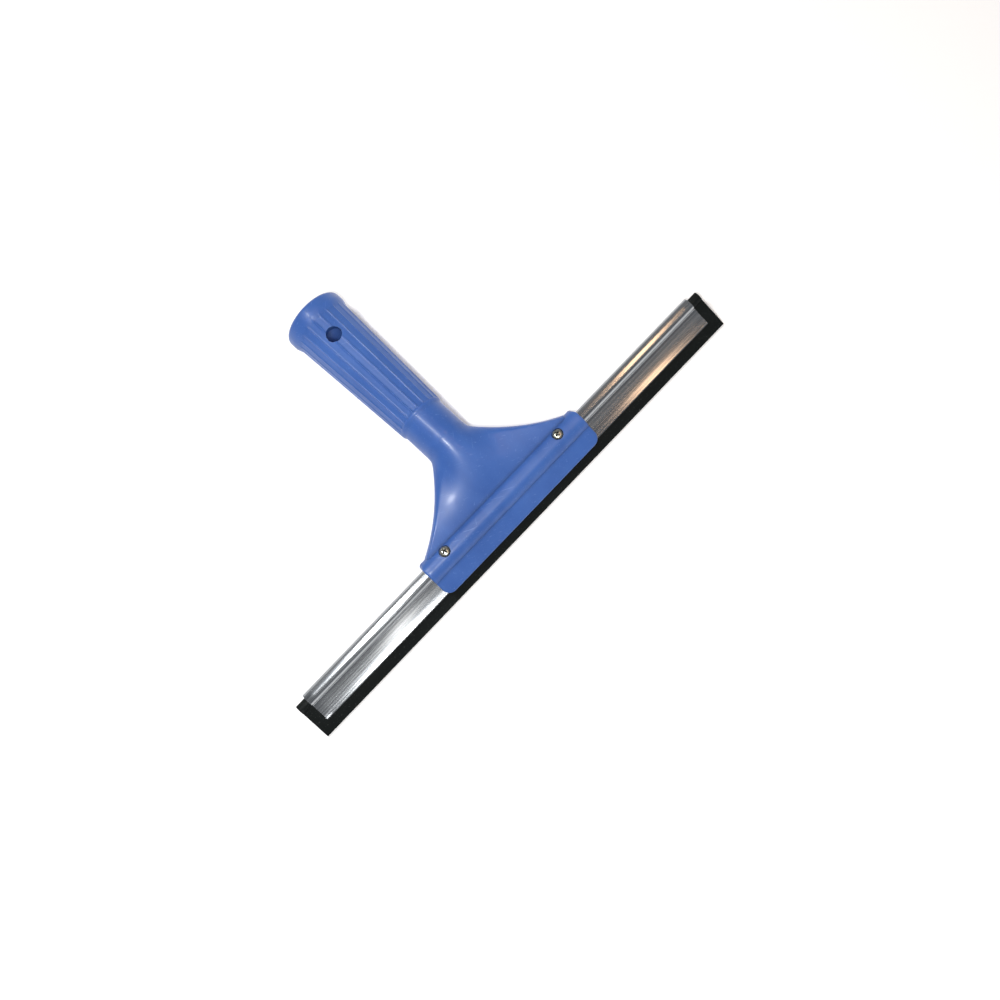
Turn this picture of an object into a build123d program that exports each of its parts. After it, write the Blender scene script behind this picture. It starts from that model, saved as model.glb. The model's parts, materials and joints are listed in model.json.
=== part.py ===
"""Squeegee applicator: a moulded handle whose jaw holds a steel channel with a rubber blade.

Design axes: X runs along the blade, Y goes up the blade plane from the rubber's edge towards the handle,
and Z comes out of the side that carries the clamp screws. The finished pieces are laid on their back, on the
rubber's edge and the handle's collar, with +Z up.
"""
from build123d import *
from math import asin, atan2, cos, degrees, exp, hypot, log, pi, radians, sin, sqrt
import os

# Steel channel
channel_length = 287.0
channel_sheet = 0.6
channel_bead_radius = 3.9
channel_bead_height = 20.8
channel_waist_height = 16.9
channel_skirt_height = 6.8
channel_band_width = 3.85
channel_waist_spread = 0.35
channel_lip_spread = 1.55

# Rubber blade, whose bead sits low in the channel's bead
blade_length = 300.0
blade_bead_drop = 0.5
blade_bead_clearance = 0.05
blade_side_clearance = 0.075
blade_edge_thickness = 1.8
blade_taper_height = 6.0

# Jaw of the handle
jaw_length = 114.3
jaw_top_corner = 2.4
jaw_lip_corner = 4.0
jaw_edge_round = 0.8
channel_clearance = 0.08
barrel_wall = 3.12
barrel_rise = 0.3
barrel_forward = 1.2
valley_wall = 3.72
valley_drop = 1.1
front_lip_wall = 2.52
front_lip_below_skirt = 1.3
back_lip_wall = 1.62
back_lip_above_skirt = 1.7

# Yoke, the fan that joins the jaw to the neck
yoke_start_angle = 4.0
yoke_sink = 0.2
yoke_length = 34.5
yoke_root_overlap = 7.0
yoke_end_inset = 5.15
yoke_side_radius = 111.0
yoke_root_angle = 63.7
yoke_corner_softness = 0.6
yoke_thickness = 8.0
yoke_swell_power = 1.7
yoke_edge_power = 5.0
yoke_section_count = 18
yoke_section_points = 36

# Neck and grip
handle_bend = 30.0
neck_length = 18.2
neck_radius = 13.1
neck_insertion = 1.0
grip_length = 78.0
grip_step = 0.8
grip_taper = 3.1
grip_plain_band = 0.8
flute_count = 22
flute_depth = 0.45
flute_end_gap = 0.6
collar_length = 7.6
collar_proud = 1.2
collar_round = 2.2

# Hollow of the grip
socket_radius = 12.7
socket_depth = 45.0
socket_lead_in = 1.0
core_radius = 10.5
core_floor = 3.0
hanging_hole_radius = 4.4
hanging_hole_from_lip = 15.2

# Clamp screws and their inserts
screw_end_distance = 15.05
screw_tilt = 34.0
screw_thread_radius = 1.45
screw_running_clearance = 0.05
screw_tip_gap = 0.05
screw_head_radius = 2.65
screw_head_height = 1.5
screw_head_dome = 0.5
screw_head_lift = 0.2
screw_cross_length = 3.2
screw_cross_width = 0.65
screw_cross_depth = 0.9
screw_cross_turn = 20.0
screw_recess_gap = 0.6
insert_wall = 0.8
insert_length = 2.77
insert_seat_gap = 0.02
insert_pocket_gap = 0.15

# The handle stands this far along +X from the middle of the blade
handle_offset = 2.4

# Cutting shapes run this far past what they cut
cut_margin = 1.0

# Places that follow from the sizes above
channel_waist_width = channel_band_width + channel_waist_spread
channel_lip_width = channel_band_width + channel_lip_spread
blade_bead_radius = channel_bead_radius - channel_sheet - blade_bead_drop - blade_bead_clearance
blade_bead_height = channel_bead_height - blade_bead_drop
blade_body_thickness = channel_band_width - 2 * (channel_sheet + blade_side_clearance)
pocket_radius = channel_bead_radius + channel_clearance
barrel_radius = pocket_radius + barrel_wall
barrel_height = channel_bead_height + barrel_rise
yoke_start_height = barrel_height + barrel_radius - yoke_sink
yoke_root_half_width = jaw_length / 2 - yoke_end_inset
grip_start_radius = neck_radius + grip_step
grip_end_radius = grip_start_radius + grip_taper
collar_radius = grip_end_radius + collar_proud
grip_start = yoke_length + neck_length
grip_end = grip_start + grip_length
handle_end = grip_end + collar_length
hanging_hole_place = grip_end - hanging_hole_from_lip
screw_half_spacing = jaw_length / 2 - screw_end_distance
screw_tip = channel_bead_radius + screw_tip_gap
insert_radius = screw_thread_radius + screw_running_clearance + insert_wall
insert_inner_end = pocket_radius + insert_pocket_gap
screw_recess_floor = insert_inner_end + insert_length
screw_recess_radius = screw_head_radius + screw_recess_gap
screw_head_seat = screw_recess_floor + screw_head_lift
screw_head_top = screw_head_seat + screw_head_height
spine_radius = yoke_length / radians(handle_bend - yoke_start_angle)


def spine_point(distance):
    """Height, depth and backward lean of the handle's centre line, this far from the top of the jaw."""
    start_lean = radians(yoke_start_angle)
    on_arc = min(max(distance, 0), yoke_length)
    straight = distance - on_arc
    lean = start_lean + on_arc / spine_radius
    height = yoke_start_height + spine_radius * (sin(lean) - sin(start_lean))
    depth = spine_radius * (cos(lean) - cos(start_lean))
    return height + straight * cos(lean), depth - straight * sin(lean), lean


def spine_plane(distance):
    """Plane square to the centre line: its x runs along the blade and its y towards the screw side."""
    height, depth, lean = spine_point(distance)
    along = (0, cos(lean), -sin(lean))
    return Plane(origin=(handle_offset, height, depth), x_dir=(-1, 0, 0), z_dir=along)


def extrude_along_blade(profile, length):
    """Extrude a profile drawn in design Y and Z, evenly both ways along the blade."""
    return extrude(Plane.YZ * profile, length / 2, both=True)


def rubber_blade():
    body_half = blade_body_thickness / 2
    edge_half = blade_edge_thickness / 2
    lip = Polygon(
        (0, -edge_half),
        (blade_taper_height, -body_half),
        (blade_bead_height, -body_half),
        (blade_bead_height, body_half),
        (blade_taper_height, body_half),
        (0, edge_half),
        align=None,
    )
    bead = Pos(blade_bead_height, 0) * Circle(blade_bead_radius)
    return extrude_along_blade(lip + bead, blade_length)


def channel_outline(grow, mouth_height):
    """Filled outline of the channel, grown outwards all round, with its skirts carried on to mouth_height."""
    band_height = (channel_skirt_height + channel_waist_height) / 2
    lip = channel_lip_width / 2 + grow
    band = channel_band_width / 2 + grow
    waist = channel_waist_width / 2 + grow
    skirts = Polygon(
        (channel_skirt_height, -lip),
        (channel_skirt_height, lip),
        (channel_waist_height, waist),
        (channel_bead_height, waist),
        (channel_bead_height, -waist),
        (channel_waist_height, -waist),
        align=None,
    )
    for side in (-1, 1):
        hollow_side = ThreePointArc(
            (channel_skirt_height, side * lip),
            (band_height, side * band),
            (channel_waist_height, side * waist),
        )
        chord = Line(hollow_side @ 1, hollow_side @ 0)
        skirts -= make_face([hollow_side, chord])
    if mouth_height < channel_skirt_height:
        drop = channel_skirt_height - mouth_height
        skirts += Pos(channel_skirt_height - drop / 2, 0) * Rectangle(drop, 2 * lip)
    return skirts + Pos(channel_bead_height, 0) * Circle(channel_bead_radius + grow)


def steel_channel():
    inside = channel_outline(-channel_sheet, channel_skirt_height - channel_sheet)
    return extrude_along_blade(channel_outline(0, channel_skirt_height) - inside, channel_length)


def jaw():
    """Jaw block: the half-round barrel over the channel's bead, and the two lips down its skirts."""
    lip_front = channel_lip_width / 2 + channel_clearance + front_lip_wall
    lip_back = channel_lip_width / 2 + channel_clearance + back_lip_wall
    valley_front = channel_waist_width / 2 + channel_clearance + valley_wall
    front_height = channel_skirt_height - front_lip_below_skirt
    back_height = channel_skirt_height + back_lip_above_skirt
    lips = Polygon(
        (back_height, -lip_back),
        (back_height, 0),
        (front_height, 0),
        (front_height, lip_front),
        (channel_waist_height - valley_drop, valley_front),
        (barrel_height, valley_front),
        (barrel_height, -lip_back),
        align=None,
    )
    front_corner = lips.vertices().group_by(Axis.X)[0].sort_by(Axis.Y)[-1]
    back_corner = lips.vertices().group_by(Axis.Y)[0].sort_by(Axis.X)[0]
    lips = fillet([front_corner, back_corner], jaw_edge_round)
    barrel = Pos(barrel_height, barrel_forward) * Circle(barrel_radius)
    block = extrude_along_blade(barrel + lips, jaw_length)
    top = barrel_height + barrel_radius
    outline = Pos(0, (front_height + top) / 2) * Rectangle(jaw_length, top - front_height)
    outline = fillet(outline.vertices().group_by(Axis.Y)[0], jaw_lip_corner)
    outline = fillet(outline.vertices().group_by(Axis.Y)[-1], jaw_top_corner)
    return Pos(handle_offset, 0, 0) * (block & extrude(outline, 2 * barrel_radius, both=True))


def yoke_half_width(distance):
    """Half-width of the fan: one hollow arc each side, softened where it runs into the neck."""
    middle = yoke_side_radius * sin(radians(yoke_root_angle))
    centre = yoke_root_half_width + yoke_side_radius * cos(radians(yoke_root_angle))
    arc = centre - sqrt(yoke_side_radius**2 - (middle - max(distance, 0)) ** 2)
    return neck_radius + yoke_corner_softness * log(1 + exp((arc - neck_radius) / yoke_corner_softness))


def yoke_section(distance):
    """Section of the fan and neck: a flat oval at the jaw that swells into the round neck."""
    share = min(max(distance / yoke_length, 0), 1)
    half_width = yoke_half_width(distance)
    half_thickness = yoke_thickness / 2 + (neck_radius - yoke_thickness / 2) * share**yoke_swell_power
    power = 2 + (yoke_edge_power - 2) * sqrt(1 - share)
    points = []
    for index in range(yoke_section_points):
        angle = 2 * pi * index / yoke_section_points
        across = abs(cos(angle)) ** (2 / power) * (1 if cos(angle) >= 0 else -1)
        through = abs(sin(angle)) ** (2 / power) * (1 if sin(angle) >= 0 else -1)
        points.append((half_width * across, half_thickness * through))
    return spine_plane(distance) * make_face(Spline(points, periodic=True))


def yoke_and_neck():
    """One smooth skin from inside the jaw's barrel to inside the start of the grip."""
    first = -yoke_root_overlap
    step = (grip_start + neck_insertion - first) / (yoke_section_count - 1)
    return loft([yoke_section(first + index * step) for index in range(yoke_section_count)])


def turned(points):
    """Solid of revolution about the centre line of the neck and grip, from (distance, radius) points."""
    profile = Polygon(*[(radius, distance - yoke_length) for distance, radius in points], align=None)
    axis_plane = spine_plane(yoke_length)
    upright = Plane(origin=axis_plane.origin, x_dir=axis_plane.x_dir, z_dir=-axis_plane.y_dir)
    return revolve(upright * profile, Axis(axis_plane.origin, axis_plane.z_dir))


def grip_radius(distance):
    """Radius of the tapered grip over its ridges."""
    return grip_start_radius + (grip_end_radius - grip_start_radius) * (distance - grip_start) / grip_length


def fluted_section(distance):
    """Round section with a shallow hollow arc between each two ridges, and a hollow at the very front."""
    ridge = grip_radius(distance)
    edges = []
    for index in range(flute_count):
        angles = [2 * pi * (index + part) / flute_count for part in (-0.5, 0, 0.5)]
        radii = (ridge, ridge - flute_depth, ridge)
        edges.append(ThreePointArc(*[(r * sin(a), r * cos(a)) for r, a in zip(radii, angles)]))
    return spine_plane(distance) * make_face(edges)


def grip():
    flutes_start = grip_start + grip_plain_band
    flutes_end = grip_end - flute_end_gap
    fluted = loft([fluted_section(flutes_start), fluted_section(flutes_end)], ruled=True)
    plain_band = turned(
        [
            (grip_start, 0),
            (grip_start, grip_start_radius),
            (flutes_start, grip_radius(flutes_start)),
            (flutes_start, 0),
        ]
    )
    return plain_band + fluted


def collar():
    """Flared and rounded rim at the open end of the grip."""
    start = grip_end - flute_end_gap
    rim = turned(
        [
            (start, 0),
            (start, grip_radius(start)),
            (grip_end, grip_radius(grip_end)),
            (grip_end + collar_round, collar_radius),
            (handle_end, collar_radius),
            (handle_end, 0),
        ]
    )
    outer_edge = rim.edges().filter_by(GeomType.CIRCLE).sort_by(Axis(*spine_axis()))[-1]
    return fillet(outer_edge, collar_round)


def spine_axis():
    plane = spine_plane(yoke_length)
    return plane.origin, plane.z_dir


def grip_hollow():
    """Pole socket, the narrower core beyond it, and the lead-in at its mouth."""
    socket_floor = handle_end - socket_depth
    return turned(
        [
            (grip_start + core_floor, 0),
            (grip_start + core_floor, core_radius),
            (socket_floor, core_radius),
            (socket_floor, socket_radius),
            (handle_end - socket_lead_in, socket_radius),
            (handle_end, socket_radius + socket_lead_in),
            (handle_end, 0),
        ]
    )


def screw_plane(side, reach):
    """Plane on a screw's axis, this far out from the middle of the channel's bead, facing outwards."""
    lean = radians(screw_tilt)
    outward = (0, sin(lean), cos(lean))
    origin = (
        handle_offset + side * screw_half_spacing,
        channel_bead_height + reach * sin(lean),
        reach * cos(lean),
    )
    return Plane(origin=origin, x_dir=(1, 0, 0), z_dir=outward)


def post(side, radius, start, end):
    """Round post on a screw's axis between two distances from the middle of the bead."""
    return extrude(screw_plane(side, start) * Circle(radius), end - start)


def clamp_screw(side):
    shank = post(side, screw_thread_radius, screw_tip, screw_head_seat)
    head = post(side, screw_head_radius, screw_head_seat, screw_head_top)
    rim = head.edges().filter_by(GeomType.CIRCLE).sort_by(Axis(*screw_axis(side)))[-1]
    head = fillet(rim, screw_head_dome)
    cross_floor = screw_plane(side, screw_head_top - screw_cross_depth)
    for turn in (0, 90):
        slot = Rot(0, 0, screw_cross_turn + turn) * Rectangle(screw_cross_length, screw_cross_width)
        head -= extrude(cross_floor * slot, screw_cross_depth + cut_margin)
    return shank + head


def screw_axis(side):
    plane = screw_plane(side, 0)
    return plane.origin, plane.z_dir


def insert(side):
    sleeve = post(side, insert_radius, insert_inner_end, screw_recess_floor)
    hole_radius = screw_thread_radius + screw_running_clearance
    return sleeve - post(side, hole_radius, insert_inner_end - cut_margin, screw_recess_floor + cut_margin)


def handle_body():
    body = yoke_and_neck() + jaw() + grip() + collar()
    channel_way = channel_outline(channel_clearance, 0)
    body -= Pos(handle_offset, 0, 0) * extrude_along_blade(channel_way, jaw_length + 2 * cut_margin)
    body -= grip_hollow()
    hole_height, hole_depth, lean = spine_point(hanging_hole_place)
    hole_plane = Plane(
        origin=(handle_offset, hole_height, hole_depth), x_dir=(1, 0, 0), z_dir=(0, sin(lean), cos(lean))
    )
    body -= extrude(hole_plane * Circle(hanging_hole_radius), collar_radius + cut_margin, both=True)
    for side in (-1, 1):
        body -= post(side, screw_recess_radius, screw_recess_floor, screw_head_top + cut_margin)
        body -= post(side, insert_radius + insert_seat_gap, 0, screw_recess_floor)
    return body


def resting_tilt():
    """Angle that brings the blade's back edge and the collar's back to one level."""
    edge_back = -blade_edge_thickness / 2
    height, depth, lean = spine_point(handle_end - collar_round)
    reach = collar_radius - collar_round
    round_height = height - reach * sin(lean)
    round_depth = depth - reach * cos(lean) - edge_back
    slope = atan2(-round_depth, round_height)
    return degrees(slope + asin(collar_round / hypot(round_height, round_depth)))


pieces = {
    "handle_body": handle_body(),
    "steel_channel": steel_channel(),
    "rubber_blade": rubber_blade(),
    "clamp_screw_left": clamp_screw(-1),
    "clamp_screw_right": clamp_screw(1),
    "insert_left": insert(-1),
    "insert_right": insert(1),
}

tilt = resting_tilt()
laid = {name: Rot(tilt, 0, 0) * piece for name, piece in pieces.items()}
box = Compound(list(laid.values())).bounding_box(optimal=True)
shift = Pos(-box.center().X, -box.center().Y, -box.min.Z)

os.makedirs("parts", exist_ok=True)
for name, piece in laid.items():
    export_step(shift * piece, f"parts/{name}.step")
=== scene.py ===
import json
import math

import bmesh
import bpy
import numpy as np
from mathutils import Matrix, Vector


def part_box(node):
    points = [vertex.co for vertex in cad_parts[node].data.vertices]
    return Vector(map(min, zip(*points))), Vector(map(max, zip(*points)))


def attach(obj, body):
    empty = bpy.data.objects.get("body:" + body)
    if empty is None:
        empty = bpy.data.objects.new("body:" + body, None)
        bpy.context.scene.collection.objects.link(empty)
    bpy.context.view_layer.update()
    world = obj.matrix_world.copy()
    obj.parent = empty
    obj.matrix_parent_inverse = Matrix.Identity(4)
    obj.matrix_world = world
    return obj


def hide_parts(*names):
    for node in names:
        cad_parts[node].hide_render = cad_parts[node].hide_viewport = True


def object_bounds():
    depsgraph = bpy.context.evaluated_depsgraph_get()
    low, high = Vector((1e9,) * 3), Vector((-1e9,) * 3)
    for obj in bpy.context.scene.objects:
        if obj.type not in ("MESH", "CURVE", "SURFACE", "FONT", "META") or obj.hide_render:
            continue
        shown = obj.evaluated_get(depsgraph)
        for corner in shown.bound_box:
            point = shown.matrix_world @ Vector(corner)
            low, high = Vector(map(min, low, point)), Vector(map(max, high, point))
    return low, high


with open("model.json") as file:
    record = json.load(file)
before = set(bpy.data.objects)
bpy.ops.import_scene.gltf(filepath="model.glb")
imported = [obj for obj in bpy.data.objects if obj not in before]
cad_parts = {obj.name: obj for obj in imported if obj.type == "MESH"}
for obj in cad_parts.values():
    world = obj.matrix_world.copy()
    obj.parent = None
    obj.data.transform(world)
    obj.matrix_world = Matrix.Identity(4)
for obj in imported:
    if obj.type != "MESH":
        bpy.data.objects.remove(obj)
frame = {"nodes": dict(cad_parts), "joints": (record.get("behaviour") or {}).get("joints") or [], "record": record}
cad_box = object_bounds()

# Shapes are drawn in millimetres in the design axes: X along the blade, Y up the blade plane from the
# rubber's edge, Z out of the screw side. to_row() lays them on their back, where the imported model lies.
MM = 0.001

# Steel channel
channel_sheet = 0.6
channel_bead_radius = 3.9
channel_bead_height = 20.8
channel_waist_height = 16.9
channel_skirt_height = 6.8
channel_band_half = 1.925
channel_waist_half = 2.1
channel_lip_half = 2.7
channel_crease_round = 0.35
channel_end_round = 0.12

# Rubber blade
blade_bead_radius = 2.75
blade_bead_height = 20.3
blade_body_half = 1.25
blade_edge_half = 0.9
blade_taper_height = 6.0
blade_end_round = 0.2

# Jaw
channel_clearance = 0.08
barrel_radius = 7.1
barrel_height = 21.1
barrel_forward = 1.2
jaw_bottom = 5.9
jaw_back_bottom = 8.5
jaw_front_lip = 5.3
jaw_back_lip = 4.4
jaw_valley_height = 15.8
jaw_valley_front = 5.9
jaw_top_corner = 2.4
jaw_lip_corner = 5.0
jaw_edge_round = 0.8
jaw_top = 28.0
jaw_lip_heights = (8.6, 7.9, 7.1)
jaw_inner_heights = (7.6, 6.8, 6.2)
jaw_slot_half = 0.5

# Yoke and neck
bend_angle = math.radians(30.0)
yoke_start_angle = math.radians(4.0)
yoke_length = 34.5
yoke_root_overlap = 7.0
yoke_root_half_width = 52.6
yoke_side_radius = 111.0
yoke_root_angle = math.radians(63.7)
yoke_corner_softness = 0.6
yoke_half_thickness = 4.0
yoke_edge_round = 2.4
yoke_swell_power = 1.25
yoke_crown_power = 6.0
neck_radius = 13.1

# Grip, collar and hollow, as distances along the centre line and radii
grip_start = 52.7
grip_end = 130.7
handle_end = 138.3
grip_start_radius = 13.9
grip_end_radius = 17.0
grip_step_length = 2.4
flute_count = 22
flute_depth = 0.38
flute_crest_round = 0.05
flute_squareness = 6.0
flute_end_slope = 1.2
flute_start_gap = 1.3
flute_end_gap = 0.6
flute_crest_shares = (0.0, 0.025, 0.055, 0.1, 0.17, 0.28, 0.45, 0.7)
collar_radius = 18.2
collar_flare_start = 127.8
collar_flare_end = 133.2
collar_round = 2.2
mouth_radius = 13.7
mouth_round = 0.4
socket_radius = 12.7
socket_lead_in = 1.0
socket_floor = 93.3
core_radius = 10.5
core_floor = 55.7
core_edge_round = 0.3
core_floor_round = 0.5
hanging_hole_radius = 4.4
hanging_hole_place = 115.5
hole_cutter_reach = 30.0

# Screws, as radii and as distances out from the middle of the channel's bead
screw_tilt = math.radians(34.0)
screw_tip = 3.95
screw_seat = 7.1
screw_head_top = 8.6
screw_head_radius = 2.65
screw_head_side = 0.75
screw_dome_power = 0.8
screw_thread_radius = 1.45
screw_root_radius = 1.2
screw_thread_pitch = 0.5
screw_recess_floor = 6.9
screw_recess_radius = 3.25
insert_pocket_radius = 2.32
cutter_end = 12.0
# The driver recess, as heights from the top of the head: (height, half length, half width) of each wing, and
# (height, radius) of the cone between them
wing_sections = ((-1.25, 0.4, 0.2), (-0.75, 1.25, 0.3), (0.6, 1.9, 0.45))
cone_sections = ((-1.2, 0.25), (-0.7, 0.62), (0.6, 0.95))
wing_turns = np.radians((20.0, 110.0))

# Camera: the viewing angle, and how far it stands from the point that it looks at
camera_azimuth = math.radians(16.5)
camera_elevation = math.radians(75.6)
camera_roll = math.radians(-30.1)
camera_distance = 0.7977
camera_target_from_middle = Vector((-0.00085, -0.06409, -0.00024))
camera_lens = 55.69

# Stage, in metres: the places along the blade whose mirrored light the camera sees, and the floor
hot_spot_x = -0.088
warm_spot_x = 0.106
floor_half_width = 3.0
lamp_white = (1.0, 0.995, 0.98)

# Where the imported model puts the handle, the blade and the screws
record = frame["record"]
mounts = {mount["name"]: mount for mount in record["mounts"]}
joints = {joint["name"]: joint for joint in frame["joints"]}
socket_axis = Vector(mounts["pole_socket"]["axis"])
handle_x = mounts["pole_socket"]["pos_m"][0] / MM
tilt = bend_angle - math.atan2(-socket_axis.z, socket_axis.y)
blade_low, blade_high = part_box("rubber_blade")
channel_low, channel_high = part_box("steel_channel")
handle_low, handle_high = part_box("handle_body")
origin_y = blade_low.y + blade_edge_half * MM * math.sin(tilt)
origin_z = blade_low.z + blade_edge_half * MM * math.cos(tilt)
blade_half_length = (blade_high.x - blade_low.x) / MM / 2
channel_half_length = (channel_high.x - channel_low.x) / MM / 2
jaw_half_length = (handle_high.x - handle_low.x) / MM / 2
spine_radius = yoke_length / (bend_angle - yoke_start_angle)


def to_row(points):
    """Design points in millimetres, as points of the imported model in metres."""
    x, y, z = np.asarray(points, float).reshape(-1, 3).T * MM
    along = origin_y + y * math.cos(tilt) - z * math.sin(tilt)
    up = origin_z + y * math.sin(tilt) + z * math.cos(tilt)
    return np.column_stack([x, along, up])


# ---------------------------------------------------------------- mesh building

smooth_below = 32.0  # edges bent by more than these degrees stay sharp
sliver_size = 1e-6  # metres
end_round_steps = 5


def new_piece(name, rings, caps, smooth_angle=smooth_below):
    """Closed piece from rings of design points, each as long as the last, and two lists of cap faces."""
    count = len(rings[0])
    points = to_row(np.vstack(rings))
    faces = []
    for ring in range(len(rings) - 1):
        base = ring * count
        for index in range(count):
            after = (index + 1) % count
            faces.append((base + index, base + after, base + count + after, base + count + index))
    last = (len(rings) - 1) * count
    faces += [tuple(reversed(face)) for face in caps]
    faces += [tuple(last + corner for corner in face) for face in caps]
    mesh = bpy.data.meshes.new(name)
    mesh.from_pydata(points.tolist(), [], faces)
    mesh.validate()
    piece = bpy.data.objects.new(name, mesh)
    bpy.context.scene.collection.objects.link(piece)
    fix_normals(piece)
    smooth(piece, smooth_angle)
    return piece


def fix_normals(piece):
    """Turns every face outwards, by the sign of the closed mesh's volume."""
    mesh = piece.data
    mesh.calc_loop_triangles()
    co = np.empty(len(mesh.vertices) * 3)
    mesh.vertices.foreach_get("co", co)
    co = co.reshape(-1, 3)
    corners = np.empty(len(mesh.loop_triangles) * 3, int)
    mesh.loop_triangles.foreach_get("vertices", corners)
    a, b, c = (co[corners.reshape(-1, 3)[:, k]] for k in range(3))
    if np.einsum("ij,ij->i", a, np.cross(b, c)).sum() < 0:
        mesh.flip_normals()


def smooth(piece, angle):
    """Smooth shading, but not across edges bent by more than this angle in degrees."""
    piece.data.shade_smooth()
    piece.data.set_sharp_from_angle(angle=math.radians(angle))


def ladder_caps(count):
    """Faces that close an outline made of a chain and a second chain coming back, rung by rung."""
    return [(k, k + 1, 2 * count - 2 - k, 2 * count - 1 - k) for k in range(count - 1)]


def inward_steps(outline):
    """For each corner of a closed outline, the move that insets both its sides by one."""
    before = np.roll(outline, 1, axis=0)
    after = np.roll(outline, -1, axis=0)
    area = (outline[:, 0] * after[:, 1] - after[:, 0] * outline[:, 1]).sum()
    turn = 1.0 if area > 0 else -1.0

    def side_normal(start, end):
        run = end - start
        run /= np.linalg.norm(run, axis=1)[:, None]
        return turn * np.column_stack([-run[:, 1], run[:, 0]])

    one, two = side_normal(before, outline), side_normal(outline, after)
    middle = one + two
    middle /= np.linalg.norm(middle, axis=1)[:, None]
    return middle / np.clip(np.einsum("ij,ij->i", middle, one), 0.3, None)[:, None]


def swept(
    name, front, back, half_length, end_round, centre=0.0, corner_inset=None, spans=24, angle=smooth_below
):
    """Piece swept along the blade from an outline of two chains in design Y and Z, with rounded end edges."""
    outline = np.vstack([front, back[::-1]])
    inward = inward_steps(outline)
    reach = np.full(len(outline), half_length)
    if corner_inset is not None:
        reach -= corner_inset(outline[:, 0])
    rings = []
    steps = range(end_round_steps, 0, -1) if end_round else ()
    turns = [math.pi / 2 * k / end_round_steps for k in steps]
    for turn in turns:
        rings.append((reach - end_round + end_round * math.sin(turn), end_round * (1 - math.cos(turn))))
    straight = [(share * (reach - end_round), 0.0) for share in np.linspace(1, -1, spans + 1)]
    mirrored = [(-x, inset) for x, inset in reversed(rings)]
    made = []
    for x, inset in rings + straight + mirrored:
        section = outline + inward * inset
        made.append(np.column_stack([centre + x, section]))
    return new_piece(name, made, ladder_caps(len(front)), angle)


def lathed(name, profile, origin, axis, count):
    """Piece turned about an axis from (distance, radius) points, with a flat face at each end.

    A radius may be a function of the angles.
    """
    origin, axis = np.asarray(origin, float), np.asarray(axis, float)
    side = np.array((1.0, 0.0, 0.0))
    other = np.cross(axis, side)
    turns = 2 * math.pi * np.arange(count) / count
    rings = []
    for distance, radius in profile:
        spread = radius(turns) if callable(radius) else np.full(count, radius)
        spokes = np.outer(spread * np.cos(turns), side) + np.outer(spread * np.sin(turns), other)
        rings.append(origin + distance * axis + spokes)
    return new_piece(name, rings, [tuple(range(count))])


def combine(target, operation, tools, angle=smooth_below):
    """Boolean of the closed target with each closed tool, whose objects are used up."""
    for tool in tools:
        change = target.modifiers.new("join", "BOOLEAN")
        change.operation = operation
        change.solver = "MANIFOLD"
        change.object = tool
        bpy.context.view_layer.update()
        evaluated = target.evaluated_get(bpy.context.evaluated_depsgraph_get())
        made = bpy.data.meshes.new_from_object(evaluated)
        target.modifiers.clear()
        target.data = made
        bpy.data.objects.remove(tool)
    weld(target.data)
    smooth(target, angle)
    return target


def weld(mesh):
    """Joins the points that a boolean leaves almost in the same place, as slivers of no area."""
    work = bmesh.new()
    work.from_mesh(mesh)
    bmesh.ops.remove_doubles(work, verts=work.verts, dist=sliver_size)
    bmesh.ops.triangulate(work, faces=[face for face in work.faces if len(face.verts) > 4])
    bmesh.ops.dissolve_degenerate(work, dist=sliver_size, edges=work.edges)
    work.to_mesh(mesh)
    work.free()


# ---------------------------------------------------------------- handle


def spine_point(distance):
    """Height, depth and backward lean of the handle's centre line, this far from the top of the jaw."""
    on_arc = min(max(distance, 0.0), yoke_length)
    straight = distance - on_arc
    lean = yoke_start_angle + on_arc / spine_radius
    height = jaw_top + spine_radius * (math.sin(lean) - math.sin(yoke_start_angle))
    depth = spine_radius * (math.cos(lean) - math.cos(yoke_start_angle))
    return height + straight * math.cos(lean), depth - straight * math.sin(lean), lean


def spine_ring(distance, across, through):
    """Ring square to the centre line, from offsets along the blade and towards the screws."""
    height, depth, lean = spine_point(distance)
    heights = height + through * math.sin(lean)
    return np.column_stack([handle_x + across, heights, depth + through * math.cos(lean)])


def ring_angles():
    """Angles around the handle, closer together at each crest between two flutes."""
    half = np.array(flute_crest_shares)
    shares = np.concatenate([half, [1.0], 2.0 - half[:0:-1]])
    crest = (np.arange(flute_count)[:, None] + 0.5 + shares[None, :] / 2) / flute_count
    return 2 * math.pi * crest.ravel()


def yoke_half_width(distance):
    """One hollow arc each side, softened where it runs into the neck."""
    middle = yoke_side_radius * math.sin(yoke_root_angle)
    centre = yoke_root_half_width + yoke_side_radius * math.cos(yoke_root_angle)
    arc = centre - math.sqrt(yoke_side_radius**2 - (middle - max(distance, 0.0)) ** 2)
    past_neck = (arc - neck_radius) / yoke_corner_softness
    return neck_radius + yoke_corner_softness * math.log1p(math.exp(past_neck))


def yoke_ring(distance, angles):
    """Flat plate with rounded edges at the jaw, on which a soft ridge swells into the round neck."""
    share = min(max(distance / yoke_length, 0.0), 1.0)
    half_width = yoke_half_width(distance)
    across = half_width * np.sin(angles)
    flatness = np.cos(angles) ** 2
    edge_round = yoke_edge_round + (half_width - yoke_edge_round) * share**3
    from_edge = np.clip((half_width - np.abs(across)) / edge_round, 0.0, 1.0)
    plate = yoke_half_thickness * np.sqrt(1 - (1 - from_edge) ** 2)
    ridge_power = 0.5 + yoke_crown_power * (1 - share)
    ridge = (neck_radius - yoke_half_thickness) * share**yoke_swell_power * flatness**ridge_power
    return spine_ring(distance, across, (plate + ridge) * np.sign(np.cos(angles)))


def ease(share):
    """Smooth step from nought to one."""
    return share * share * (3 - 2 * share)


def grip_radius(distance):
    """Radius of the tapered grip, at the flutes' crests."""
    share = (distance - grip_start) / (grip_end - grip_start)
    return grip_start_radius + (grip_end_radius - grip_start_radius) * share


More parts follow.
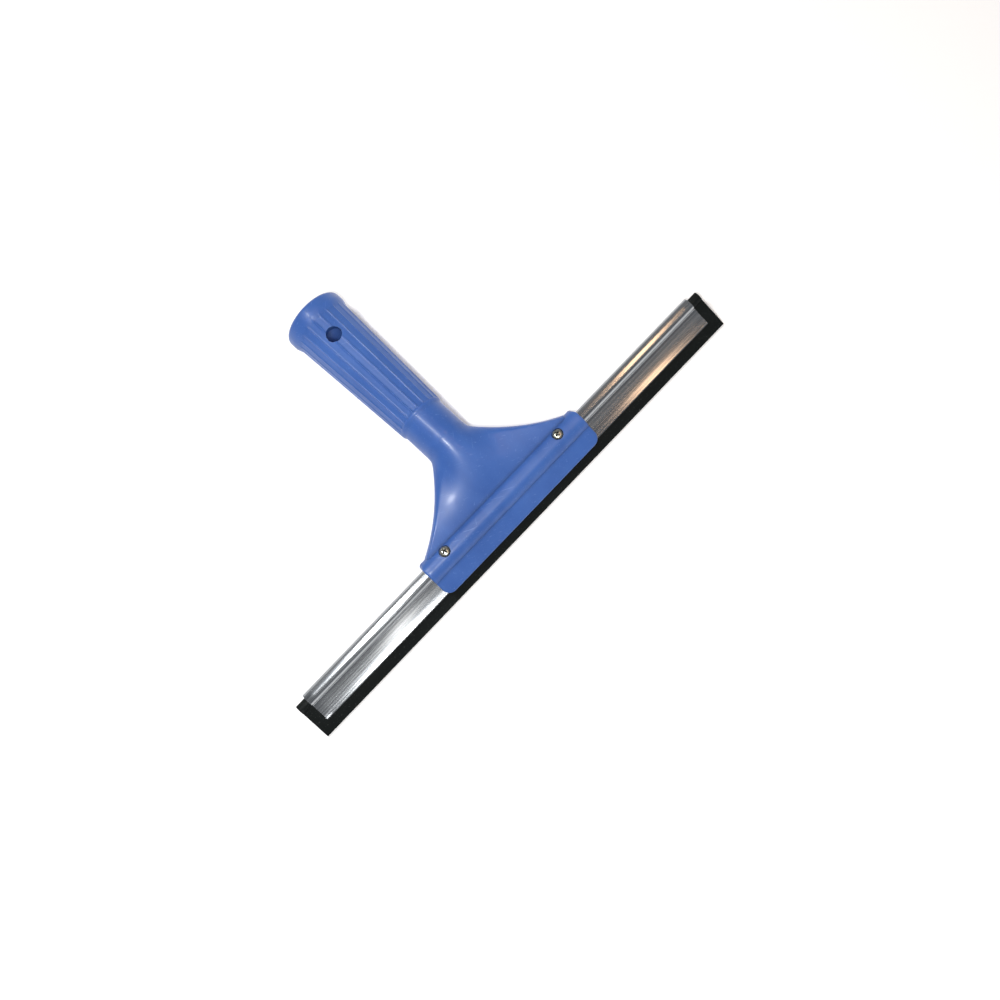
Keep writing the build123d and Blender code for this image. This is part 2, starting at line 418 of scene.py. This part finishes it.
def flute_shares(angles):
    """Depth share of the flutes: flat floors, steep sides and slightly rounded crests."""
    part = (angles * flute_count / (2 * math.pi)) % 1.0
    from_crest = np.abs(1 - 2 * part)
    rounded = np.sqrt(from_crest**2 + flute_crest_round**2) - flute_crest_round
    return 1 - (1 - rounded) ** flute_squareness


def round_ring(distance, radius, angles, hollow=0.0):
    """Round ring of the handle, hollowed by this share of the flutes' depth."""
    spread = radius - hollow * flute_depth * flute_shares(angles)
    return spine_ring(distance, spread * np.sin(angles), spread * np.cos(angles))


def quarter(centre_distance, centre_radius, size, start, end, steps):
    """(distance, radius) points on a round of the handle's outline, between two angles in degrees."""
    turns = np.radians(np.linspace(start, end, steps + 1))
    return [(centre_distance + size * math.sin(t), centre_radius + size * math.cos(t)) for t in turns]


def handle_rings():
    """Rings from inside the jaw, up the fan, neck and grip, over the collar and down into the hollow."""
    angles = ring_angles()
    rings = [yoke_ring(d, angles) for d in np.linspace(-yoke_root_overlap, yoke_length, num=46)]
    for distance in np.linspace(yoke_length, grip_start - grip_step_length / 2, num=10)[1:]:
        rings.append(yoke_ring(distance, angles))
    for share in np.linspace(0.1, 1.0, num=8):
        place = grip_start + (share - 0.5) * grip_step_length
        radius = neck_radius + (grip_radius(place) - neck_radius) * ease(share)
        rings.append(round_ring(place, radius, angles))
    flutes_start = grip_start + flute_start_gap
    flutes_end = grip_end - flute_end_gap
    rings.append(round_ring(flutes_start, grip_radius(flutes_start), angles))
    for share in (0.35, 0.75, 1.0):
        place = flutes_start + share * flute_end_slope
        rings.append(round_ring(place, grip_radius(place), angles, math.sin(share * math.pi / 2)))
    for place in np.linspace(flutes_start + 2, collar_flare_start - 2, num=22):
        rings.append(round_ring(place, grip_radius(place), angles, 1.0))
    for place in np.linspace(collar_flare_start, collar_flare_end, num=12):
        share = (place - collar_flare_start) / (collar_flare_end - collar_flare_start)
        flare = ease(share)
        radius = grip_radius(min(place, grip_end)) * (1 - flare) + collar_radius * flare
        fade = min(max((flutes_end - place) / (flutes_end - collar_flare_start), 0.0), 1.0)
        rings.append(round_ring(place, radius, angles, fade))
    rim = quarter(handle_end - collar_round, collar_radius - collar_round, collar_round, 0, 90, steps=8)
    mouth = quarter(handle_end - mouth_round, mouth_radius + mouth_round, mouth_round, 90, 150, steps=4)
    inside = [
        (handle_end - socket_lead_in, socket_radius + 0.1),
        (handle_end - socket_lead_in - 0.3, socket_radius),
        (socket_floor + 10, socket_radius),
        (socket_floor, socket_radius),
        (socket_floor, core_radius + core_edge_round),
        (socket_floor - core_edge_round, core_radius),
        (core_floor + core_floor_round, core_radius),
        (core_floor, core_radius - core_floor_round),
        (core_floor, 1.0),
    ]
    for distance, radius in rim + mouth + inside:
        rings.append(round_ring(distance, radius, angles))
    return rings, len(angles)


def barrel_half(height):
    """Half-thickness of the jaw's barrel at this height."""
    return math.sqrt(max(barrel_radius**2 - (height - barrel_height) ** 2, 0.0))


def jaw_chains():
    """Front and back of the jaw's section, from the barrel's top down to the lips."""

    def front_at(height):
        rise = (height - jaw_bottom) / (jaw_valley_height - jaw_bottom)
        lip = jaw_front_lip + (jaw_valley_front - jaw_front_lip) * rise
        if height > jaw_valley_height:
            return barrel_forward + barrel_half(height)
        return lip

    def back_at(height):
        on_barrel = barrel_forward - barrel_half(height) if height > barrel_height - barrel_radius else 0.0
        return min(on_barrel, -jaw_back_lip) if height < barrel_height else on_barrel

    valley_turn = math.asin((jaw_valley_height - barrel_height) / barrel_radius)
    turns = np.linspace(math.radians(86), valley_turn, num=34)
    heights = [barrel_height + barrel_radius * math.sin(turn) for turn in turns]
    heights += list(np.linspace(jaw_valley_height, jaw_back_bottom + jaw_edge_round, num=8)[1:])
    round_ = jaw_edge_round
    corner = [math.pi / 2 * k / 4 for k in range(5)]
    front = [(h, front_at(h)) for h in heights]
    front += [(h, front_at(h)) for h in (*jaw_lip_heights, jaw_bottom + round_)]
    front += [
        (jaw_bottom + round_ - round_ * math.sin(t), jaw_front_lip - round_ + round_ * math.cos(t))
        for t in corner[1:]
    ]
    front += [(jaw_bottom, 2.0), (jaw_bottom, jaw_slot_half)]
    back = [(h, back_at(h)) for h in heights]
    back += [
        (jaw_back_bottom + round_ - round_ * math.sin(t), -jaw_back_lip + round_ - round_ * math.cos(t))
        for t in corner[1:]
    ]
    back += [(jaw_back_bottom, -2.0), (jaw_back_bottom, -0.6)]
    back += [(h, -jaw_slot_half) for h in (*jaw_inner_heights, jaw_bottom)]
    return np.array(front), np.array(back)


def jaw_corner_inset(heights):
    """How far the rounded corners of the jaw's ends stand in from its full length."""
    top = barrel_height + barrel_radius
    above = np.clip(heights - (top - jaw_top_corner), 0.0, jaw_top_corner)
    below = np.clip(jaw_bottom + jaw_lip_corner - heights, 0.0, jaw_lip_corner)
    inset = jaw_top_corner - np.sqrt(jaw_top_corner**2 - above**2)
    return inset + jaw_lip_corner - np.sqrt(jaw_lip_corner**2 - below**2)


def channel_half(height, grow):
    """Half-width of the channel's outside at this height, below its bead."""
    middle = (channel_skirt_height + channel_waist_height) / 2
    reach = (channel_waist_height - channel_skirt_height) / 2
    place = min((height - middle) / reach, 1.0)
    if height < channel_skirt_height:
        return channel_lip_half + grow
    if height > channel_waist_height:
        return channel_waist_half + grow
    bow = (channel_lip_half + channel_waist_half) / 2 - channel_band_half
    lean = (channel_waist_half - channel_lip_half) / 2
    return channel_band_half + lean * place + bow * place**2 + grow


def channel_way():
    """What the channel takes out of the jaw."""
    radius = channel_bead_radius + channel_clearance
    meets = math.asin(-math.sqrt(radius**2 - (channel_waist_half + channel_clearance) ** 2) / radius)
    turns = np.linspace(math.radians(87), meets, num=28)
    chain = [(channel_bead_height + radius * math.sin(t), radius * math.cos(t)) for t in turns]
    heights = np.linspace(channel_waist_height, channel_skirt_height, num=12)
    chain += [(h, channel_half(h, channel_clearance)) for h in heights]
    chain += [(-1.0, channel_lip_half + channel_clearance)]
    front = np.array(chain)
    return swept("way", front, front * (1, -1), jaw_half_length + 3, 0.0, handle_x, spans=2)


def screw_frame(side):
    """Middle of the bead at a screw, and the direction that its axis points out in, in design axes."""
    place = joints[f"{side}_screw_turn"]["pos_m"]
    outward = (0.0, math.sin(screw_tilt), math.cos(screw_tilt))
    return (place[0] / MM, channel_bead_height, 0.0), outward


def build_handle():
    """Grip, neck and fan in one skin, joined to the jaw, then cut by the channel, the hole and the screws."""
    rings, count = handle_rings()
    handle = new_piece("handle", rings, [tuple(range(count))])
    front, back = jaw_chains()
    jaw = swept("jaw", front, back, jaw_half_length, jaw_edge_round, handle_x, jaw_corner_inset, spans=40)
    combine(handle, "UNION", [jaw])
    tools = [channel_way()]
    height, depth, lean = spine_point(hanging_hole_place)
    through = (0.0, math.sin(lean), math.cos(lean))
    hole = [(-hole_cutter_reach, hanging_hole_radius), (hole_cutter_reach, hanging_hole_radius)]
    tools.append(lathed("hole", hole, (handle_x, height, depth), through, count=72))
    for side in ("left", "right"):
        origin, outward = screw_frame(side)
        recess = [
            (0.5, insert_pocket_radius),
            (screw_recess_floor, insert_pocket_radius),
            (screw_recess_floor, screw_recess_radius - 0.2),
            (screw_recess_floor + 0.2, screw_recess_radius),
            (cutter_end, screw_recess_radius),
        ]
        tools.append(lathed("recess", recess, origin, outward, count=72))
    combine(handle, "DIFFERENCE", tools)
    return handle


# ---------------------------------------------------------------- channel, blade, screws


def build_channel():
    """Rolled strip: the middle line of the sheet goes up one skirt, round the bead and down the other."""
    half_sheet = channel_sheet / 2
    radius = channel_bead_radius - half_sheet
    waist = channel_waist_half - half_sheet
    meets = math.asin(-math.sqrt(radius**2 - waist**2) / radius)
    heights = np.linspace(channel_skirt_height, channel_waist_height, num=40)
    line = [(h, channel_half(h, -half_sheet)) for h in heights]
    top_of_band = channel_bead_height + radius * math.sin(meets)
    line += [(h, waist) for h in np.linspace(channel_waist_height, top_of_band, num=4)[1:]]
    turns = np.linspace(meets, math.pi / 2, num=44)[1:]
    line += [(channel_bead_height + radius * math.sin(t), radius * math.cos(t)) for t in turns]
    line = np.array(line)
    line = np.vstack([line, line[-2::-1] * (1, -1)])
    line = round_creases(line, channel_crease_round)
    run = np.gradient(line, axis=0)
    run /= np.linalg.norm(run, axis=1)[:, None]
    outward = np.column_stack([-run[:, 1], run[:, 0]])
    if outward[0, 1] < 0:
        outward = -outward
    # The last three points of each side thin out, which rounds the sheet's edges
    thickness = np.full(len(line), half_sheet)
    thickness[:3] = thickness[-3:][::-1] = half_sheet * np.array([0.45, 0.8, 0.95])
    outside = line + outward * thickness[:, None]
    inside = line - outward * thickness[:, None]
    return swept("channel", outside, inside, channel_half_length, channel_end_round, spans=60, angle=50.0)


def round_creases(line, reach):
    """Same line at even spacing, with each crease eased over about this reach."""
    steps = np.linalg.norm(np.diff(line, axis=0), axis=1)
    lengths = np.concatenate([[0.0], np.cumsum(steps)])
    spacing, span = 0.22, 3
    places = np.arange(0.0, lengths[-1] + spacing / 2, spacing)
    places *= lengths[-1] / places[-1]
    even = np.column_stack([np.interp(places, lengths, line[:, k]) for k in (0, 1)])
    weights = np.exp(-0.5 * (np.arange(-span, span + 1) * spacing / reach) ** 2)
    weights /= weights.sum()
    eased = even.copy()
    for k in range(span, len(even) - span):
        eased[k] = weights @ even[k - span : k + span + 1]
    return eased


def build_blade():
    """Extruded rubber: a round bead, a body and a lip that tapers to a square edge."""
    meets = math.asin(-math.sqrt(blade_bead_radius**2 - blade_body_half**2) / blade_bead_radius)
    turns = np.linspace(math.radians(86), meets, num=22)
    radius = blade_bead_radius
    bead = [(blade_bead_height + radius * math.sin(t), radius * math.cos(t)) for t in turns]
    body = [(h, blade_body_half) for h in (16.5, 14.0, 11.0, 8.5, blade_taper_height)]
    slope = (blade_body_half - blade_edge_half) / blade_taper_height
    lip = [(h, blade_edge_half + slope * h) for h in (4.0, 2.0, 0.8, 0.15)]
    edge = [(0.04, blade_edge_half - 0.04), (0.0, blade_edge_half - 0.15)]
    front = np.array(bead + body + lip + edge)
    back = front * (1, -1)
    return swept("blade", front, back, blade_half_length, blade_end_round, spans=60, angle=40.0)


def build_screw(side):
    """Pan-head screw with a cross recess, and a thread on its shank."""
    origin, outward = screw_frame(side)

    def thread(distance):
        def radius(turns):
            phase = (distance / screw_thread_pitch + turns / (2 * math.pi)) % 1.0
            return screw_root_radius + (screw_thread_radius - screw_root_radius) * np.abs(2 * phase - 1)

        return radius

    profile = [(screw_tip, 0.7), (screw_tip + 0.1, 1.0)]
    thread_step = 0.083
    profile += [(d, thread(d)) for d in np.arange(screw_tip + 0.25, screw_seat - 0.3, thread_step)]
    profile += [(screw_seat - 0.2, screw_thread_radius), (screw_seat, screw_thread_radius)]
    profile += [(screw_seat, screw_head_radius - 0.1), (screw_seat + 0.1, screw_head_radius)]
    rim = screw_seat + screw_head_side
    dome = np.radians(np.linspace(0, 88, num=16))
    profile += [
        (rim + (screw_head_top - rim) * math.sin(t), screw_head_radius * math.cos(t) ** screw_dome_power)
        for t in dome
    ]
    screw = lathed(f"screw_{side}", profile, origin, outward, count=96)
    return combine(screw, "DIFFERENCE", cross_recess(origin, outward), angle=38.0)


def cross_recess(origin, outward):
    """Two tapered wings and a middle cone, which make the driver recess."""
    origin, outward = np.array(origin), np.array(outward)
    side = np.array((1.0, 0.0, 0.0))
    other = np.cross(outward, side)
    tools = []
    corners = ((1, 1), (-1, 1), (-1, -1), (1, -1))
    for turn in wing_turns:
        along = math.cos(turn) * side + math.sin(turn) * other
        across = -math.sin(turn) * side + math.cos(turn) * other
        rings = []
        for height, half_length, half_width in wing_sections:
            centre = origin + (screw_head_top + height) * outward
            ring = [centre + half_length * a * along + half_width * b * across for a, b in corners]
            rings.append(np.array(ring))
        tools.append(new_piece("wing", rings, [(0, 1, 2, 3)]))
    cone = [(screw_head_top + height, radius) for height, radius in cone_sections]
    tools.append(lathed("cone", cone, origin, outward, count=32))
    return tools


# ---------------------------------------------------------------- materials


def node(tree, kind, inputs=(), **settings):
    """New node with these settings, whose inputs are linked to sockets or set to values."""
    made = tree.nodes.new(kind)
    for key, value in settings.items():
        setattr(made, key, value)
    for key, value in dict(inputs).items():
        if isinstance(value, bpy.types.NodeSocket):
            tree.links.new(value, made.inputs[key])
        else:
            made.inputs[key].default_value = value
    return made


def start_material(name, **sockets):
    """New material, its node tree and its shader, with the constant sockets set on the shader itself."""
    material = bpy.data.materials.new(name)
    material.use_nodes = True
    tree = material.node_tree
    shader = tree.nodes["Principled BSDF"]
    for key, value in sockets.items():
        shader.inputs[key.replace("_", " ")].default_value = value
    return material, tree, shader


def place(tree, stretch=(1.0, 1.0, 1.0), turn=(0.0, 0.0, 0.0)):
    """Object coordinates, turned and then scaled."""
    coordinates = node(tree, "ShaderNodeTexCoord").outputs["Object"]
    turned = node(tree, "ShaderNodeMapping", {"Vector": coordinates, "Rotation": turn}).outputs[0]
    return node(tree, "ShaderNodeMapping", {"Vector": turned, "Scale": stretch}).outputs[0]


def noise(tree, vector, scale, detail, roughness=0.5):
    inputs = {"Vector": vector, "Scale": scale, "Detail": detail, "Roughness": roughness}
    return node(tree, "ShaderNodeTexNoise", inputs).outputs["Fac"]


def between(tree, value, low, high, to_low=0.0, to_high=1.0):
    """Maps value from one range to another, and clamps it."""
    inputs = {"Value": value, "From Min": low, "From Max": high, "To Min": to_low, "To Max": to_high}
    return node(tree, "ShaderNodeMapRange", inputs).outputs["Result"]


def mix(tree, share, one, two):
    inputs = {0: share, 6: one, 7: two}
    return node(tree, "ShaderNodeMix", inputs, data_type="RGBA").outputs[2]


def maths(tree, operation, one, two=0.0):
    return node(tree, "ShaderNodeMath", {0: one, 1: two}, operation=operation).outputs[0]


def bump(tree, height, strength, distance, normal=None):
    inputs = {"Height": height, "Strength": strength, "Distance": distance}
    if normal is not None:
        inputs["Normal"] = normal
    return node(tree, "ShaderNodeBump", inputs).outputs["Normal"]


def scratches(tree, turn, along, across, low):
    """Thin streaks: stretched noise, of which only the peaks are kept."""
    streaks = noise(tree, place(tree, (along, across, across), turn), scale=1.0, detail=2.0)
    return between(tree, streaks, low, low + 0.06)


def edge_share(tree, radius):
    """Share that rises on convex and concave edges, and the normal rounded over them."""
    rounded = node(tree, "ShaderNodeBevel", {"Radius": radius}, samples=6).outputs[0]
    flat = node(tree, "ShaderNodeNewGeometry").outputs["Normal"]
    same = node(tree, "ShaderNodeVectorMath", {0: rounded, 1: flat}, operation="DOT_PRODUCT").outputs["Value"]
    return between(tree, same, low=0.995, high=0.93), rounded


def crevice(tree, distance, closed, open_):
    """Share, from ambient occlusion, that is nothing deep in a crevice and one on open ground; it places painted
    shade in creases and recesses, and keeps the pale edges out of crevices.
    """
    shade = node(tree, "ShaderNodeAmbientOcclusion", {"Distance": distance}, samples=6).outputs["AO"]
    return between(tree, shade, closed, open_)


def plastic_material():
    """Semi-gloss moulded polypropylene, with flow marks, fine scuffs, paler edges and painted shade. The paler
    edges are partly wear and partly a painted highlight along the flutes' crests; the painted shade darkens
    creases and recesses.
    """
    material, tree, shader = start_material(
        "blue_polypropylene",
        Specular_IOR_Level=0.38,
        Subsurface_Weight=0.06,
        Subsurface_Scale=0.004,
        Coat_Weight=0.12,
        Coat_Roughness=0.17,
    )
    shader.inputs["Subsurface Radius"].default_value = (0.3, 0.5, 1.0)
    clouds = noise(tree, place(tree), scale=28.0, detail=4.0)
    flow = noise(tree, place(tree, stretch=(1.0, 0.25, 1.0)), scale=140.0, detail=3.0)
    grain = noise(tree, place(tree), scale=1900.0, detail=2.0)
    deep = (0.036, 0.104, 0.360, 1.0)
    light = (0.050, 0.133, 0.425, 1.0)
    pale_tone = (0.17, 0.28, 0.60, 1.0)
    painted_shade = (0.006, 0.010, 0.020, 1.0)
    tint = maths(tree, "ADD", maths(tree, "MULTIPLY", clouds, 0.65), maths(tree, "MULTIPLY", flow, 0.35))
    colour = mix(tree, between(tree, tint, low=0.36, high=0.64), deep, light)
    # Paler blue on edges, partly wear and partly a painted highlight: it draws the bright lines along the crests
    # of the grip's flutes and lightens the other edges.
    edge_mask, rounded = edge_share(tree, radius=0.00013)
    patchy = between(tree, noise(tree, place(tree), scale=260.0, detail=3.0), low=0.30, high=0.60)
    wear_and_crest_highlight = maths(tree, "MULTIPLY", edge_mask, crevice(tree, distance=0.0012, closed=0.75, open_=0.98))
    colour = mix(tree, maths(tree, "MULTIPLY", maths(tree, "MULTIPLY", wear_and_crest_highlight, patchy), 0.8), colour, pale_tone)
    scuffs = maths(
        tree,
        "MAXIMUM",
        scratches(tree, turn=(0.0, 0.0, 0.5), along=60.0, across=1300.0, low=0.66),
        scratches(tree, turn=(0.0, 0.0, -0.9), along=70.0, across=1500.0, low=0.67),
    )
    colour = mix(tree, maths(tree, "MULTIPLY", scuffs, 0.30), colour, pale_tone)
    # Painted shade: a dark blue mixed in by ambient occlusion, mildly along creases such as the jaw's valley, and
    # almost fully deep in the recesses round the screws.
    valley_shade = maths(tree, "MAXIMUM", crevice(tree, distance=0.0022, closed=0.62, open_=0.95), 0.6)
    colour = mix(tree, valley_shade, painted_shade, colour)
    colour = mix(tree, crevice(tree, distance=0.0016, closed=0.22, open_=0.50), painted_shade, colour)
    tree.links.new(colour, shader.inputs["Base Color"])
    blotches = noise(tree, place(tree), scale=75.0, detail=4.0)
    gloss = between(tree, blotches, low=0.35, high=0.65, to_low=0.33, to_high=0.44)
    rough = maths(tree, "SUBTRACT", gloss, maths(tree, "MULTIPLY", scuffs, 0.10))
    tree.links.new(rough, shader.inputs["Roughness"])
    heights = maths(tree, "SUBTRACT", grain, maths(tree, "MULTIPLY", scuffs, 0.3))
    normal = bump(tree, heights, strength=0.15, distance=0.00002, normal=rounded)
    tree.links.new(normal, shader.inputs["Normal"])
    return material


def steel_material():
    """Bright rolled strip: fine lines along the blade, a few crossing scratches and faint smears."""
    material, tree, shader = start_material("rolled_steel", Metallic=1.0, Anisotropic=0.85)
    lines = noise(tree, place(tree, stretch=(5.0, 1400.0, 1400.0)), scale=1.0, detail=2.0, roughness=0.6)
    bands = noise(tree, place(tree, stretch=(1.5, 420.0, 420.0)), scale=1.0, detail=2.0)
    smears = noise(tree, place(tree), scale=46.0, detail=4.0)
    nicks = scratches(tree, turn=(0.0, 0.0, 1.1), along=60.0, across=2400.0, low=0.70)
    tone = maths(tree, "ADD", maths(tree, "MULTIPLY", lines, 0.5), maths(tree, "MULTIPLY", bands, 0.5))
    dark = (0.265, 0.28, 0.30, 1.0)
    bright = (0.46, 0.475, 0.49, 1.0)
    colour = mix(tree, between(tree, tone, low=0.38, high=0.60), dark, bright)
    tree.links.new(colour, shader.inputs["Base Color"])
    rough = between(tree, lines, low=0.3, high=0.7, to_low=0.15, to_high=0.20)
    smeared = between(tree, smears, low=0.45, high=0.75, to_low=0.0, to_high=0.03)
    rough = maths(tree, "ADD", rough, smeared)
    rough = maths(tree, "ADD", rough, maths(tree, "MULTIPLY", nicks, 0.15))
    tree.links.new(rough, shader.inputs["Roughness"])
    tangent = node(tree, "ShaderNodeTangent", direction_type="RADIAL", axis="X").outputs[0]
    tree.links.new(tangent, shader.inputs["Tangent"])
    heights = maths(tree, "SUBTRACT", lines, maths(tree, "MULTIPLY", nicks, 0.6))
    tree.links.new(bump(tree, heights, strength=0.05, distance=0.000006), shader.inputs["Normal"])
    return material


def rubber_material():
    """Matt black rubber with a moulded skin and a little dust."""
    material, tree, shader = start_material("black_rubber", Specular_IOR_Level=0.15)
    clouds = noise(tree, place(tree, stretch=(0.5, 1.0, 1.0)), scale=90.0, detail=5.0)
    dust = between(tree, clouds, low=0.5, high=0.75)
    specks = between(tree, noise(tree, place(tree), scale=1400.0, detail=1.0), low=0.66, high=0.72)
    black = (0.003, 0.0048, 0.0048, 1.0)
    dusty = (0.009, 0.012, 0.012, 1.0)
    pale = (0.06, 0.065, 0.065, 1.0)
    colour = mix(tree, maths(tree, "MULTIPLY", dust, 0.5), black, dusty)
    colour = mix(tree, maths(tree, "MULTIPLY", specks, 0.35), colour, pale)
    tree.links.new(colour, shader.inputs["Base Color"])
    rough = between(tree, dust, low=0.0, high=1.0, to_low=0.5, to_high=0.68)
    tree.links.new(rough, shader.inputs["Roughness"])
    skin = noise(tree, place(tree, stretch=(0.6, 1.0, 1.0)), scale=1500.0, detail=3.0)
    streaks = noise(tree, place(tree, stretch=(20.0, 900.0, 900.0)), scale=1.0, detail=2.0)
    heights = maths(tree, "ADD", skin, maths(tree, "MULTIPLY", streaks, 0.6))
    tree.links.new(bump(tree, heights, strength=0.3, distance=0.00004), shader.inputs["Normal"])
    return material


def metal_material(name, dark, bright, low_rough, high_rough, scale):
    """Small plated or turned metal piece: cloudy tone, fine grain, worn edges and painted shade in its recesses.
    """
    material, tree, shader = start_material(name, Metallic=1.0)
    clouds = noise(tree, place(tree), scale, detail=3.0)
    edge_mask, rounded = edge_share(tree, radius=0.00008)
    pale_tone = (0.9, 0.9, 0.88, 1.0)
    painted_shade = (0.012, 0.014, 0.012, 1.0)
    colour = mix(tree, between(tree, clouds, low=0.35, high=0.65), (*dark, 1.0), (*bright, 1.0))
    colour = mix(tree, maths(tree, "MULTIPLY", edge_mask, 0.35), colour, pale_tone)
    # Painted shade: near-black mixed in where ambient occlusion finds a recess, such as the cross recess and under
    # the rim of a screw head.
    colour = mix(tree, crevice(tree, distance=0.0012, closed=0.42, open_=0.88), painted_shade, colour)
    tree.links.new(colour, shader.inputs["Base Color"])
    grain = noise(tree, place(tree), scale * 6, detail=3.0)
    rough = between(tree, grain, low=0.3, high=0.7, to_low=low_rough, to_high=high_rough)
    tree.links.new(rough, shader.inputs["Roughness"])
    normal = bump(tree, grain, strength=0.2, distance=0.00001, normal=rounded)
    tree.links.new(normal, shader.inputs["Normal"])
    return material


# ---------------------------------------------------------------- stage, lights, camera


def camera_axes():
    """Forward, up and right of the camera, rolled about its own view."""
    level = math.cos(camera_elevation)
    forward = Vector(
        (math.sin(camera_azimuth) * level, math.cos(camera_azimuth) * level, -math.sin(camera_elevation))
    )
    level_right = forward.cross(Vector((0, 0, 1))).normalized()
    level_up = level_right.cross(forward)
    right = math.cos(camera_roll) * level_right + math.sin(camera_roll) * level_up
    return forward, right.cross(forward), right


def add_camera():
    """Camera at the photograph's viewing angle, and the place where it stands."""
    forward, up, right = camera_axes()
    target = (Vector(cad_box[0]) + Vector(cad_box[1])) / 2 + camera_target_from_middle
    data = bpy.data.cameras.new("camera")
    data.lens = camera_lens
    data.clip_start = 0.01
    camera = bpy.data.objects.new("camera", data)
    place_at = target - forward * camera_distance
    camera.matrix_world = Matrix.Translation(place_at) @ Matrix((right, up, -forward)).transposed().to_4x4()
    bpy.context.scene.collection.objects.link(camera)
    bpy.context.scene.camera = camera
    return place_at


def add_area_light(name, place_at, look_at, size, power, colour):
    """Rectangular light that the camera doesn't see, with its size in metres and its power in watts."""
    data = bpy.data.lights.new(name, "AREA")
    data.shape = "RECTANGLE"
    data.size, data.size_y = size
    data.energy = power
    data.color = colour
    light = bpy.data.objects.new(name, data)
    light.location = place_at
    light.rotation_euler = (Vector(look_at) - Vector(place_at)).to_track_quat("-Z", "Y").to_euler()
    light.visible_camera = False
    bpy.context.scene.collection.objects.link(light)


def add_floor():
    """Plain floor that glows more away from the object, so that it stays pale to the horizon."""
    half = floor_half_width
    mesh = bpy.data.meshes.new("floor")
    corners = [(-half, -half, 0), (half, -half, 0), (half, half, 0), (-half, half, 0)]
    mesh.from_pydata(corners, [], [(0, 1, 2, 3)])
    floor = bpy.data.objects.new("floor", mesh)
    bpy.context.scene.collection.objects.link(floor)
    material, tree, shader = start_material("floor_paint", Roughness=0.9, Specular_IOR_Level=0.1)
    shade = noise(tree, place(tree), scale=6.0, detail=2.0)
    colour = mix(tree, shade, (0.90, 0.90, 0.90, 1.0), (0.93, 0.93, 0.93, 1.0))
    tree.links.new(colour, shader.inputs["Base Color"])
    shader.inputs["Emission Color"].default_value = (1.0, 1.0, 1.0, 1.0)
    away = node(tree, "ShaderNodeVectorMath", {0: place(tree)}, operation="LENGTH").outputs["Value"]
    glow = between(tree, away, low=0.5, high=1.6, to_low=0.20, to_high=0.85)
    tree.links.new(glow, shader.inputs["Emission Strength"])
    floor.data.materials.append(material)


def add_world():
    """Even pale surroundings, brightest near the horizon."""
    world = bpy.data.worlds.new("studio")
    world.use_nodes = True
    bpy.context.scene.world = world
    tree = world.node_tree
    background = tree.nodes["Background"]
    background.inputs["Color"].default_value = (0.95, 0.97, 1.0, 1.0)
    direction = node(tree, "ShaderNodeTexCoord").outputs["Generated"]
    upward = node(tree, "ShaderNodeSeparateXYZ", {0: direction}).outputs["Z"]
    strength = between(tree, upward, low=0.02, high=0.30, to_low=0.85, to_high=0.28)
    tree.links.new(strength, background.inputs["Strength"])


def overhead(x, y, height):
    """Place and target of a light that faces straight down."""
    return (x, y, height), (x, y, 0.0)


# ---------------------------------------------------------------- assembly

eye = add_camera()

plastic = plastic_material()
steel = steel_material()
rubber = rubber_material()
zinc = metal_material(
    "zinc_plate", (0.30, 0.30, 0.26), (0.50, 0.50, 0.44), low_rough=0.20, high_rough=0.34, scale=700.0
)
brass = metal_material(
    "turned_brass", (0.46, 0.30, 0.10), (0.66, 0.47, 0.18), low_rough=0.22, high_rough=0.36, scale=600.0
)

pieces = [
    (build_handle(), "handle", "handle_body", "handle_plastic", plastic),
    (build_channel(), "channel", "steel_channel", "channel_steel", steel),
    (build_blade(), "blade", "rubber_blade", "blade_rubber", rubber),
    (build_screw("left"), "screw_left", "clamp_screw_left", "screw_zinc", zinc),
    (build_screw("right"), "screw_right", "clamp_screw_right", "screw_zinc", zinc),
]
for piece, body, cad_node, slot, material in pieces:
    piece.data.materials.clear()
    piece.data.materials.append(material)
    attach(piece, body)
    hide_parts(cad_node)
for name in ("insert_left", "insert_right"):
    for slot in frame["nodes"][name].material_slots:
        slot.material = brass

add_floor()
add_world()

# The channel's left arm mirrors to the camera what stands at mirrored_x: a flash beside the camera, a strip
# with a faint tail, and a soft box around them. The right arm mirrors a warm lamp at warm_x.
mirrored_x = 2 * hot_spot_x - eye.x
warm_x = 2 * warm_spot_x - eye.x
flash_place = (mirrored_x, eye.y, eye.z)
flash_target = (0.0, -0.02, 0.01)
add_area_light("flash", flash_place, flash_target, size=(0.06, 0.06), power=2.7, colour=lamp_white)
for name, x, y, height, size, power, colour in (
    ("strip", mirrored_x, 0.28, eye.z, (0.035, 0.34), 2.7, lamp_white),
    ("strip_tail", mirrored_x, -0.75, eye.z, (0.03, 0.80), 0.25, (1.0, 0.97, 0.92)),
    ("soft_box", mirrored_x, -0.06, eye.z + 0.03, (0.14, 0.54), 0.9, (0.96, 0.98, 1.0)),
    ("warm_lamp", warm_x, -0.12, eye.z, (0.06, 0.74), 0.8, (1.0, 0.62, 0.36)),
):
    add_area_light(name, *overhead(x, y, height), size, power, colour)

bpy.context.scene.view_settings.view_transform = "Standard"
